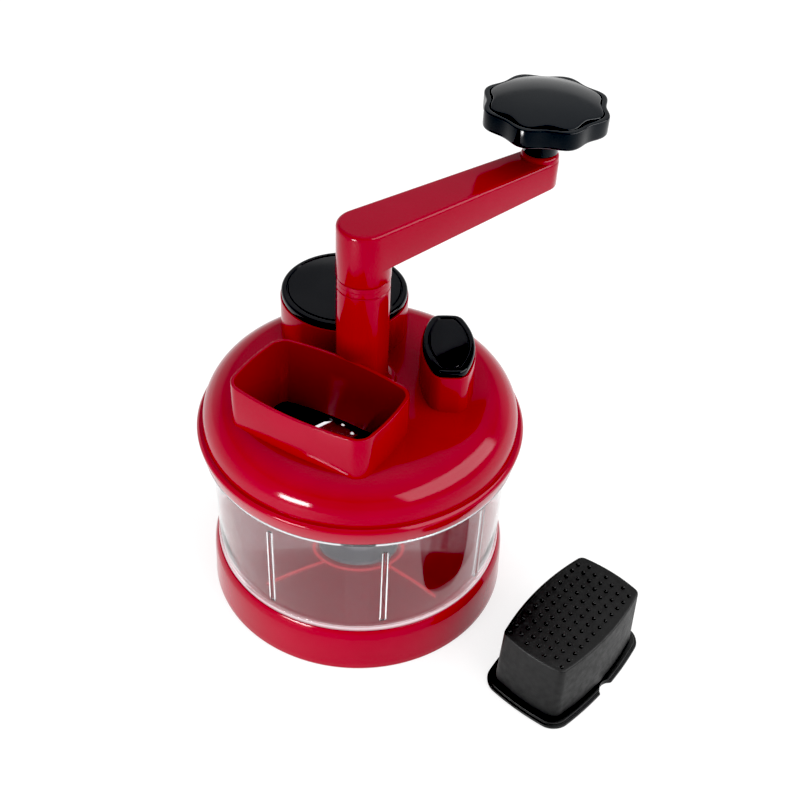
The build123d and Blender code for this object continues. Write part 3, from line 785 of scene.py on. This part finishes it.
@dataclass
class Stand:
    """The red base under the bowl, with its ribbed deck."""

    foot: float = 88.2
    bore: float = 84.5
    wall: float = 2.4
    top: float = 30.4
    deck: float = 21.4
    lift: float = 0.8
    lip: float = 85.2
    shoulder: float = 87.0
    shoulder_height: float = 27.0
    bulge: tuple[tuple[float, float], ...] = ((87.5, 21.0), (87.8, 12.0), (88.0, 5.0))
    rubber: float = 5.6
    ring: float = 25.0
    ray_end: float = 70.0
    ray_start: float = 72.4
    ray_count: int = 4
    rib: float = 1.8
    rib_height: float = 1.6
    root: float = 0.3
    keeper_root: float = 0.2

    def build(self) -> None:
        """Builds the stand and dresses its rubber ring."""
        inner = self.foot - self.wall
        form = Form().turned(
            [
                Ring(0, self.deck),
                Ring(self.bore, self.deck, 0.5),
                Ring(self.bore, self.top, 0.35),
                Ring(self.lip, self.top, 0.4, 4),
                Ring(self.shoulder, self.shoulder_height, 2.2, 8),
                *(Ring(reach, height) for reach, height in self.bulge),
                Ring(self.foot, self.lift, 0.4),
                Ring(inner, self.lift),
                Ring(inner, self.deck - self.wall),
                Ring(0, self.deck - self.wall),
            ],
            count=288,
        )
        self._ribs(form)
        shell = form.piece("stand_shell", "stand", RED, "red_gloss", ("base_stand",))
        self._paint_deck_light(shell)
        dress_node("foot_ring", RUBBER)

    def _paint_deck_light(self, shell: bpy.types.Object) -> None:
        """Paints light on the deck and its ribs: glowing, brighter copies of the red stand in for the
        light that the clear bowl would pass down to them.

        Args:
            shell: the stand's piece.
        """
        shell.data.materials.append(DECK_PAINTED_GLOW.material())
        shell.data.materials.append(RIB_PAINTED_GLOW.material())
        for face in shell.data.polygons:
            reach, height = face.center.xy.length / MM, face.center.z / MM
            if reach < self.bore + 0.1 and height > self.deck - 0.1:
                on_rib = reach < self.ray_end + 1 and height > self.deck + 0.1
                # painted light: deck faces take the glowing deck copy, raised rib faces the brighter
                # glowing rib copy
                face.material_index = 2 if on_rib else 1

    def _ribs(self, form: Form) -> None:
        """Adds the ring and rays on the deck, and the wall that holds the rubber.

        Args:
            form: the stand's form.
        """
        half = self.rib / 2
        low, high = self.deck - self.root, self.deck + self.rib_height
        form.turned(
            [
                Ring(self.ring - half, low),
                Ring(self.ring - half, high, 0.3),
                Ring(self.ring + half, high, 0.3),
                Ring(self.ring + half, low),
            ],
            count=96,
            ends=Ends.JOINED,
        )
        length = (self.ray_end - self.ring) / 2
        ray = BowedOutline(length, half, 0, 0, 0.4, 0.3)
        for number in range(self.ray_count):
            azimuth = self.ray_start + number * 360 / self.ray_count
            place = Place.polar(self.ring + length, azimuth, azimuth)
            form.carry(ray, place, [Ring(0, low), Ring(0, high, 0.3)], 48)
        keeper = self.foot - self.wall - self.rubber
        roof = self.deck - self.wall + self.keeper_root
        form.turned(
            [
                Ring(keeper - self.wall, self.lift),
                Ring(keeper, self.lift),
                Ring(keeper, roof),
                Ring(keeper - self.wall, roof),
            ],
            ends=Ends.JOINED,
        )


@dataclass
class Bowl:
    """The clear bowl with its eight round-topped ribs."""

    radius: float = 84.2
    wall: float = 2.2
    bottom: float = 23.0
    floor_top: float = 25.4
    flange: float = 104.8
    flange_radius: float = 89.6
    rim_bottom: float = 107.2
    lip: float = 86.9
    lip_top: float = 112.4
    bead: float = 0.6
    bead_bottom: float = 30.7
    bead_top: float = 33.9
    boss: float = 7.0
    boss_bore: float = 3.1
    boss_top: float = 31.4
    rib_radius: float = 1.9
    rib_bottom: float = 36.5
    rib_top: float = 93.0
    rib_start: float = -3.2
    rib_count: int = 8

    def build(self) -> None:
        """Builds the bowl and dresses its pivot pin."""
        inside, bead = self.radius - self.wall, self.radius + self.bead
        form = Form().turned(
            [
                Ring(0, self.bottom),
                Ring(self.radius, self.bottom, 3.0, 6),
                Ring(self.radius, self.bead_bottom),
                Ring(bead, self.bead_bottom + self.bead, 0.3),
                Ring(bead, self.bead_top - self.bead, 0.3),
                Ring(self.radius, self.bead_top),
                Ring(self.radius, self.flange, 0.5),
                Ring(self.flange_radius, self.flange, 0.5),
                Ring(self.flange_radius, self.rim_bottom, 0.5),
                Ring(self.lip, self.rim_bottom),
                Ring(self.lip, self.lip_top, 0.5),
                Ring(self.lip - self.wall, self.lip_top, 0.5),
                Ring(self.lip - self.wall, self.rim_bottom),
                Ring(inside, self.flange),
                Ring(inside, self.floor_top, 7.0, 8),
                Ring(self.boss, self.floor_top),
                Ring(self.boss, self.boss_top, 0.4),
                Ring(self.boss_bore, self.boss_top),
                Ring(self.boss_bore, self.floor_top),
                Ring(0, self.floor_top),
            ],
            count=288,
        )
        form.cut(self._ribs(), "UNION")
        shell = form.piece("bowl_shell", "bowl", CLEAR, "clear_plastic", ("bowl",), 40.0)
        self._paint_edge_highlight(shell)
        dress_node("pivot_pin", SHAFT_STEEL)

    def _paint_edge_highlight(self, shell: bpy.types.Object) -> None:
        """Paints a highlight on the bead and the heel: a glowing copy of the clear plastic stands in for
        the shine where light leaves a clear wall's edge.

        Args:
            shell: the bowl's piece.
        """
        shell.data.materials.append(CLEAR_EDGE_PAINTED_HIGHLIGHT.material())
        for face in shell.data.polygons:
            reach, height = face.center.xy.length / MM, face.center.z / MM
            if reach > self.radius - self.wall / 2 and height < self.bead_top + 0.1:
                # painted highlight: the bead and heel faces take the glowing clear copy
                face.material_index = 1

    def _ribs(self) -> Form:
        """The ribs inside the wall: round bars with round ends.

        Returns:
            The ribs' form.
        """
        ribs = Form()
        reach = self.rib_radius
        rings = [Ring(0, self.rib_bottom)]
        rings += [Ring(reach, self.rib_bottom, 0.5), Ring(reach, self.rib_top - reach)]
        for step in range(1, QUARTER_STEPS + 1):
            angle = step * math.pi / 2 / QUARTER_STEPS
            height = self.rib_top - reach + reach * math.sin(angle)
            rings.append(Ring(reach * math.cos(angle), height))
        for number in range(self.rib_count):
            azimuth = self.rib_start + number * 360 / self.rib_count
            place = Place.polar(self.radius - self.wall, azimuth, azimuth)
            ribs.carry(RoundOutline(), place, rings, 24)
        return ribs


@dataclass
class Chute:
    """One chute of the lid: its outline, its place and how its walls lean."""

    outline: Outline
    place: Place
    count: int
    top: float = 165.6
    bottom: float = 123.2
    wall: float = 1.9
    outer_spread: float = 0.74
    inner_spread: float = 1.48
    rim: float = 0.45
    overrun: float = 10.0

    def add_to(self, form: Form) -> None:
        """Adds the chute's wall, a closed sleeve.

        Args:
            form: the lid's form.
        """
        low_inner = -self.wall - self.inner_spread
        form.carry(
            self.outline,
            self.place,
            [
                Ring(self.outer_spread / 2, (self.top + self.bottom) / 2),
                Ring(0, self.top, self.rim, 4),
                Ring(-self.wall, self.top, self.rim, 4),
                Ring(low_inner, self.bottom, 0.3),
                Ring(self.outer_spread, self.bottom, 0.3),
            ],
            self.count,
            Ends.JOINED,
        )

    def hole(self) -> Form:
        """The form that opens the roof up to the middle of the chute's wall.

        Returns:
            The form to cut with.
        """
        middle = -self.wall / 2 - self.inner_spread / 4
        rings = [Ring(middle, self.bottom - self.overrun), Ring(middle, self.top)]
        return Form().carry(self.outline, self.place, rings, self.count)


@dataclass
class Lid:
    """The red lid: domed roof, skirt, three chutes and the tower of the crank."""

    skirt: float = 90.0
    skirt_bottom: float = 107.2
    rim: float = 91.8
    rim_height: float = 116.8
    rim_band: float = 1.2
    rim_slope: float = 1.4
    rebate: float = 87.2
    rebate_top: float = 113.0
    ledge: float = 119.4
    ledge_step: float = 0.8
    foot: float = 88.6
    corner: float = 85.8
    corner_height: float = 141.0
    shoulder: float = 20.8
    roof: float = 146.0
    wall: float = 2.4
    tower: float = 14.1
    tower_bore: float = 9.0
    tower_top: float = 206.6
    tower_bottom: float = 126.2
    swell: float = 0.2
    fillet: float = 4.0
    footing: float = 6.0
    collar_bore: float = 6.3
    collar_top: float = 213.0
    groove: float = 0.5
    seam: float = 210.0
    seam_depth: float = 0.12
    chutes: list[Chute] = field(
        default_factory=lambda: [
            Chute(HOPPER, Place(0, -40.8), 240),
            Chute(SMALL_CHUTE, SMALL_PLACE, 200),
            Chute(ROUND_CHUTE, ROUND_PLACE, 192, outer_spread=0.0),
        ]
    )

    def build(self) -> None:
        """Builds the lid and its collar, and dresses the bushes."""
        form, tower = self._shell(), self._tower()
        for chute in self.chutes:
            form.cut(chute.hole())
            tower.cut(chute.hole())
        for chute in self.chutes:
            chute.add_to(form)
        form.take(tower)
        form.piece("lid_shell", "lid", RED, "red_gloss", ("lid",), 30.0)
        self._collar().piece("collar_ring", "lid", RED, "red_gloss", ("tower_collar",), 25.0)
        for bush in ("lower_bush", "upper_bush"):
            dress_node(bush, BUSH)

    def _shell(self) -> Form:
        """The roof and skirt, as one thin closed shell.

        Returns:
            The shell's form.
        """
        lean = math.atan2(self.roof - self.corner_height, self.corner)
        side = math.atan2(self.foot - self.corner, self.corner_height - self.ledge)
        tangent = math.tan((math.pi / 2 - lean - side) / 2)
        wall, step = self.wall, self.ledge - self.ledge_step
        return Form().turned(
            [
                Ring(0, self.roof),
                Ring(self.corner, self.corner_height, self.shoulder * tangent, 20),
                Ring(self.foot, self.ledge, 0.3),
                Ring(self.foot, step, 0.2),
                Ring(self.rim - self.rim_slope, step, 0.35),
                Ring(self.rim, self.rim_height, 0.5),
                Ring(self.rim, self.rim_height - self.rim_band, 0.4),
                Ring(self.skirt, self.skirt_bottom, 0.3),
                Ring(self.rebate, self.skirt_bottom),
                Ring(self.rebate, self.rebate_top),
                Ring(self.foot - wall, self.ledge),
                Ring(self.corner - wall, self.corner_height - wall, (self.shoulder - wall) * tangent, 12),
                Ring(0, self.roof - wall),
            ],
            count=288,
        )

    def _tower(self) -> Form:
        """The hollow tower, with the rounded foot that spreads onto the roof.

        Returns:
            The tower's form.
        """
        base, inside = self.tower + self.swell, self.roof - self.wall
        rings = [Ring(self.tower_bore, self.tower_bottom), Ring(base, self.tower_bottom, 0.5)]
        rings += [Ring(base, inside - 1), Ring(base + self.footing, inside)]
        for step in range(QUARTER_STEPS + 1):
            angle = step * math.pi / 2 / QUARTER_STEPS
            spread, rise = self.fillet * (1 - math.sin(angle)), self.fillet * (1 - math.cos(angle))
            rings.append(Ring(base + spread, self.roof + rise))
        rings += [
            Ring(self.tower, self.tower_top - self.groove),
            Ring(self.tower - self.groove, self.tower_top),
            Ring(self.tower_bore, self.tower_top),
        ]
        return Form().turned(rings, 128, Ends.JOINED)

    def _collar(self) -> Form:
        """The ring on the tower, with a fine groove at each edge and a seam round it.

        Returns:
            The ring's form.
        """
        outer, cut, seam = self.tower, self.groove, self.seam_depth
        return Form().turned(
            [
                Ring(self.collar_bore, self.tower_top),
                Ring(outer - cut, self.tower_top),
                Ring(outer, self.tower_top + cut),
                Ring(outer, self.seam - seam),
                Ring(outer - seam, self.seam),
                Ring(outer, self.seam + seam),
                Ring(outer, self.collar_top - cut),
                Ring(outer - cut, self.collar_top),
                Ring(self.collar_bore, self.collar_top),
            ],
            128,
            Ends.JOINED,
        )


@dataclass
class CrankArm:
    """The red arm with its hub, its hollow underside and the boss for the knob."""

    hub: float = 14.4
    end: float = 10.8
    throw: float = CRANK_THROW
    azimuth: float = CRANK_AZIMUTH
    top: float = 244.2
    depth_at_hub: float = 22.5
    depth_at_end: float = 16.0
    hub_bottom: float = 213.3
    boss_top: float = 247.2
    edge: float = 2.4
    wall: float = 2.4
    ribs: int = 4
    rib_root: float = 0.3
    post: float = 6.2
    post_rise: float = 6.5
    boss_inset: float = 0.3
    boss_width: float = 7.7

    def build(self) -> None:
        """Builds the arm and dresses the shaft in its hub."""
        arm, place = ArmOutline(self.hub, self.end, self.throw), Place(turn=self.azimuth)
        form = Form().carry(
            arm,
            place,
            [
                Ring(-self.wall, self.top - self.wall),
                Ring(-self.wall, self.top - self.depth_at_hub),
                Ring(0, self.top - self.depth_at_hub, 0.35),
                Ring(0, self.top, self.edge, 6),
            ],
            256,
        )
        self._slope(form)
        tip = Place.polar(self.throw, self.azimuth)
        low, high = self.top - self.depth_at_hub, self.top - self.edge - 1
        form.turned(
            [
                Ring(self.post, self.hub_bottom),
                Ring(self.hub, self.hub_bottom, 0.4),
                Ring(self.hub, high),
                Ring(self.post, high),
            ],
            128,
            Ends.JOINED,
        )
        form.carry(
            RoundOutline(self.end),
            tip,
            [
                Ring(-self.boss_inset, self.top - self.edge),
                Ring(-self.boss_inset, self.boss_top, 2.5, 5),
                Ring(-self.boss_inset - self.boss_width, self.boss_top),
            ],
            96,
        )
        post = [Ring(self.post, low + self.post_rise), Ring(self.post, self.top - self.wall / 2)]
        form.carry(RoundOutline(), tip, post, 64)
        form.piece("arm_shell", "crank", RED, "red_gloss", ("crank_arm",), 30.0)
        for node in ("drive_shaft", "shaft_clip", "knob_screw"):
            dress_node(node, SHAFT_STEEL)
        for node in ("thrust_washer", "knob_washer"):
            dress_node(node, BUSH)

    def _slope(self, form: Form) -> None:
        """Raises the underside towards the knob, and adds the ribs of the pocket.

        Args:
            form: the arm's form.
        """
        turn = math.radians(self.azimuth)
        rise = (self.depth_at_hub - self.depth_at_end) / (self.throw + self.end)
        floor = self.top - self.depth_at_hub
        for vert in form.mesh.verts:
            along = vert.co.x * math.cos(turn) + vert.co.y * math.sin(turn)
            if vert.co.z < self.top - self.depth_at_end:
                vert.co.z += rise * max(along, 0)
        span = self.throw - self.post - self.hub
        for number in range(self.ribs):
            along = self.hub + span * (number + 1) / (self.ribs + 1)
            width = self.hub - (self.hub - self.end) * along / self.throw - self.wall + self.rib_root
            rib = BowedOutline(0.9, width, 0, 0, 0.3, 0.2)
            bottom = floor + rise * along + 0.4
            rings = [Ring(0, bottom), Ring(0, self.top - self.wall + self.rib_root)]
            form.carry(rib, Place.polar(along, self.azimuth, self.azimuth), rings, 32)


@dataclass
class Knob:
    """The scalloped palm knob on its neck, with a domed inlay."""

    outline: ScallopOutline = ScallopOutline(33.3, 1.5, 8, 5.0)
    place: Place = Place.polar(CRANK_THROW, CRANK_AZIMUTH)
    neck: float = 9.5
    neck_bottom: float = 248.1
    washer: float = 9.0
    boss: float = 247.2
    bore: float = 4.1
    flare: float = 1.6
    bottom: float = 264.5
    rim: float = 275.5
    inset: float = 3.2
    seat: float = 2.6
    crown: float = 6.2
    seat_width: float = 4.0
    floor_width: float = 12.0
    gap: float = 0.25
    dome_steps: int = 14

    def build(self) -> None:
        """Builds the knob's body and its inlay."""
        floor = self.rim - self.seat
        body = Form().carry(
            self.outline,
            self.place,
            [
                Ring(-self.inset - self.seat_width, floor),
                Ring(-self.inset, floor),
                Ring(-self.inset, self.rim, 0.35),
                Ring(0, self.rim, 0.9, 4),
                Ring(0, self.bottom, 2.0, 5),
                Ring(-self.floor_width, self.bottom),
            ],
            256,
        )
        body.carry(
            RoundOutline(),
            self.place,
            [
                Ring(self.bore, self.neck_bottom),
                Ring(self.washer, self.neck_bottom),
                Ring(self.washer, self.boss + self.gap),
                Ring(self.neck, self.boss + self.gap, 0.3),
                Ring(self.neck, self.bottom - self.flare),
                Ring(self.neck + 0.5, self.bottom - 0.5),
                Ring(self.neck + self.flare, self.bottom + 0.1),
                Ring(self.bore, self.bottom + 0.1),
            ],
            96,
            Ends.JOINED,
        )
        body.piece("knob_shell", "knob", KNOB_BLACK, "black_gloss", ("knob_body",), 32.0)
        self._inlay().piece("knob_inlay", "knob", KNOB_BLACK, "black_gloss", ("knob_cap",), 32.0)

    def _inlay(self) -> Form:
        """The domed inlay: the scalloped outline closing in over a shallow sphere.

        Returns:
            The inlay's form.
        """
        edge = -self.inset - self.gap
        reach = self.outline.radius + edge + self.gap + self.outline.wave
        sphere = (reach**2 + self.crown**2) / (2 * self.crown)
        rings = [Ring(edge, self.rim - self.seat), Ring(edge, self.rim, 0.7, 4)]
        count = self.dome_steps
        rings += [Ring(edge, self.rim, scale=1 - step / count) for step in range(1, count)]
        form = Form().carry(self.outline, self.place, rings, 256)
        for vert in form.mesh.verts:
            if vert.co.z > self.rim - self.seat / 2:
                off = (vert.co.x - self.place.x) ** 2 + (vert.co.y - self.place.y) ** 2
                dip = sphere - math.sqrt(sphere**2 - off)
                vert.co.z += self.crown - dip
        return form


@dataclass
class Cutter:
    """The disc, its blade and the spindle that carries them."""

    def build(self) -> None:
        """Dresses the cutter's solids."""
        dress_node("slicing_disc", DISC)
        dress_node("slicing_blade", BLADE_STEEL)
        dress_node("blade_rivets", SHAFT_STEEL)
        dress_node("disc_spindle", GREY)


@dataclass
class Pusher:
    """A pusher that stands in its chute: a plunger and the cap on top of it."""

    name: str
    outline: Outline
    place: Place
    count: int
    seat: float = 165.9
    cap: float = 4.1
    setback: float = 0.6
    edge: float = 1.6
    length: float = 41.0
    clear: float = 2.5
    spread: float = 1.43
    line: float = 3.6
    line_width: float = 1.2
    line_slope: float = 0.3
    line_depth: float = 0.45

    def build(self) -> None:
        """Builds the plunger and its cap."""
        low = self.seat - self.length
        rings = [Ring(-self.clear, self.seat), Ring(-self.clear - self.spread, low, 1.0, 4)]
        plunger = Form().carry(self.outline, self.place, rings, self.count)
        plunger.piece(f"{self.name}_plunger", self.name, GRAIN, "black_matte", (self.name,))
        top = self.seat + self.cap
        lip, floor = -self.setback, top - self.line_depth
        outer, inner = -self.line, -self.line - self.line_width
        cap = Form().carry(
            self.outline,
            self.place,
            [
                Ring(lip, self.seat, 0.3),
                Ring(lip, top, self.edge, 6),
                Ring(outer, top, 0.15, 2),
                Ring(outer - self.line_slope, floor),
                Ring(inner + self.line_slope, floor),
                Ring(inner, top, 0.15, 2),
            ],
            self.count,
        )
        cap.piece(f"{self.name}_lid", self.name, BLACK, "black_gloss", (f"{self.name}_cap",), 28.0)


@dataclass
class LoosePusher:
    """The hopper's pusher, standing upside down beside the chopper."""

    outline: BowedOutline = HOPPER
    place: Place = Place(144.3, -5.0, 80.3)
    flange: float = 3.6
    overhang: float = 1.6
    step: float = 1.4
    length: float = 41.0
    clear: float = 2.5
    spread: float = 1.43
    sink: float = 0.5
    draft: float = 0.2
    notch: float = 33.4
    notch_radius: float = 7.0
    stud: float = 1.0
    pitch: float = 6.0
    bare: tuple[float, float] = (3.0, 2.5)

    def build(self) -> None:
        """Builds the pusher, its flange and its studs."""
        top = self.flange + self.length
        rings = [Ring(-self.clear, self.flange - self.sink)]
        rings += [Ring(-self.clear - self.spread, top, 1.2, 4)]
        body = Form().carry(self.outline, self.place, rings, 240)
        body.piece("loose_plunger", "rect_pusher", GRAIN, "black_matte", ("rect_pusher",))
        low = self.flange - self.step
        flange = Form().carry(
            self.outline,
            self.place,
            [
                Ring(self.overhang, 0, 1.2, 4),
                Ring(self.overhang, low, 0.5, 3),
                Ring(self.draft, low, 0.3, 2),
                Ring(0, self.flange, 0.4, 3),
                Ring(-self.clear - 1, self.flange),
            ],
            240,
        )
        notch = Place(*self.place.to_plan(0, -self.notch))
        through = [Ring(0, -1), Ring(0, top)]
        flange.cut(Form().carry(RoundOutline(self.notch_radius), notch, through, 96))
        flange.piece("loose_flange", "rect_pusher", GRAIN, "black_matte", ("rect_pusher_cap",))
        self._studs(top).piece("loose_studs", "rect_pusher", GRAIN, "black_matte")

    def _studs(self, top: float) -> Form:
        """The staggered studs on the closed end.

        Args:
            top: the height of the closed end, in mm.

        Returns:
            The studs' form.
        """
        spots = []
        half_length = self.outline.half_length - self.clear - self.spread - self.bare[0]
        half_width = self.outline.half_width - self.clear - self.spread - self.bare[1]
        rows = int(2 * half_width / (self.pitch * math.sqrt(3) / 2)) + 1
        for row in range(rows):
            y = -half_width + row * 2 * half_width / (rows - 1)
            shift = self.pitch / 2 if row % 2 else 0
            columns = int((2 * half_length - shift) / self.pitch) + 1
            for column in range(columns):
                x = -half_length + shift + column * self.pitch
                spots.append(self.place.to_plan(x, y))
        return Form().studs(spots, top, self.stud)


# ---- Studio ---------------------------------------------------------------
AIM = Vector((0.0, 0.0, 0.12))  # the middle of the object, in metres


@dataclass
class Softbox:
    """A rectangular studio light that points at the chopper; angles in degrees, sizes in metres."""

    name: str
    azimuth: float
    elevation: float
    distance: float
    width: float
    height: float
    power: float
    colour: Shade = (1.0, 1.0, 1.0)

    def build(self) -> None:
        """Hangs the light and turns it towards the middle of the object."""
        data = bpy.data.lights.new(self.name, "AREA")
        data.shape, data.size, data.size_y = "RECTANGLE", self.width, self.height
        data.energy, data.color = self.power, self.colour
        lamp = put(self.name, data)
        a, e = math.radians(self.azimuth), math.radians(self.elevation)
        away = Vector((math.cos(a) * math.cos(e), math.sin(a) * math.cos(e), math.sin(e)))
        lamp.location = AIM + away * self.distance
        lamp.rotation_mode = "QUATERNION"
        lamp.rotation_quaternion = away.to_track_quat("Z", "Y")


@dataclass
class Studio:
    """Pale floor, pale surroundings, soft lights and the camera."""

    camera_at: tuple[float, float, float] = (0.26384, -0.42430, 0.55745)
    camera_turn: tuple[float, float, float] = (49.3405, -2.0564, 31.1546)
    lens: float = 52.98
    backdrop: float = 0.85
    # each step of the sky: where it starts, where it ends and how bright it is from there on
    sky: tuple[tuple[float, float, float], ...] = ((0.35, 0.40, 0.6), (0.40, 1.0, 1.6))
    black_point: float = 0.041
    boxes: list[Softbox] = field(
        default_factory=lambda: [
            Softbox("left_box", -95.5, -2.0, 0.452, 0.14, 0.07, 1.2),
            Softbox("right_box", 8.0, 27.0, 1.2, 1.7, 0.6, 11.0),
        ]
    )

    def build(self) -> None:
        """Sets the studio up."""
        self._floor()
        self._surroundings()
        for box in self.boxes:
            box.build()
        self._camera()
        self._film()

    def _floor(self) -> None:
        """Lays the pale floor."""
        mesh = bmesh.new()
        bmesh.ops.create_grid(mesh, x_segments=8, y_segments=8, size=6.0)
        store = bpy.data.meshes.new("studio_floor")
        mesh.to_mesh(store)
        mesh.free()
        store.materials.append(PAPER.material())
        floor = put("studio_floor", store)

    def _surroundings(self) -> None:
        """Puts an even white backdrop round the horizon, below a brighter ceiling."""
        world = bpy.data.worlds.new("surroundings")
        world.use_nodes = True
        nodes, links = world.node_tree.nodes, world.node_tree.links
        height = nodes.new("ShaderNodeSeparateXYZ")
        links.new(nodes.new("ShaderNodeTexCoord").outputs["Generated"], height.inputs["Vector"])
        last = nodes["Background"].inputs["Strength"]
        below = self.backdrop
        for low, high, above in self.sky:
            shade = nodes.new("ShaderNodeMapRange")
            set_inputs(shade, From_Min=low, From_Max=high, To_Min=below, To_Max=above)
            links.new(height.outputs["Z"], shade.inputs["Value"])
            links.new(shade.outputs["Result"], last)
            last, below = shade.inputs["To Max"], above
        set_inputs(nodes["Background"], Color=(1, 1, 1, 1))
        bpy.context.scene.world = world

    def _film(self) -> None:
        """Gives the picture the photograph's clean whites and deep blacks."""
        view = bpy.context.scene.view_settings
        view.view_transform = "Standard"
        view.use_curve_mapping = True
        view.curve_mapping.black_level = (self.black_point,) * 3
        view.curve_mapping.update()

    def _camera(self) -> None:
        """Places the camera where the photograph was taken from."""
        data = bpy.data.cameras.new("camera")
        data.sensor_width, data.lens = 36.0, self.lens
        data.clip_start, data.clip_end = 0.01, 50.0
        camera = put("camera", data)
        camera.location = self.camera_at
        camera.rotation_euler = Euler([math.radians(turn) for turn in self.camera_turn])
        bpy.context.scene.camera = camera


def main() -> None:
    """Builds the studio and every sub-assembly."""
    logging.basicConfig(level=logging.INFO, format="%(name)s: %(message)s")
    assemblies = [
        Studio(),
        Stand(),
        Bowl(),
        Lid(),
        CrankArm(),
        Knob(),
        Cutter(),
        Pusher("round_pusher", ROUND_CHUTE, ROUND_PLACE, 192),
        Pusher("small_pusher", SMALL_CHUTE, SMALL_PLACE, 200),
        LoosePusher(),
    ]
    for assembly in assemblies:
        assembly.build()
        log.info("%s done", type(assembly).__name__)


if __name__ == "__main__":
    main()
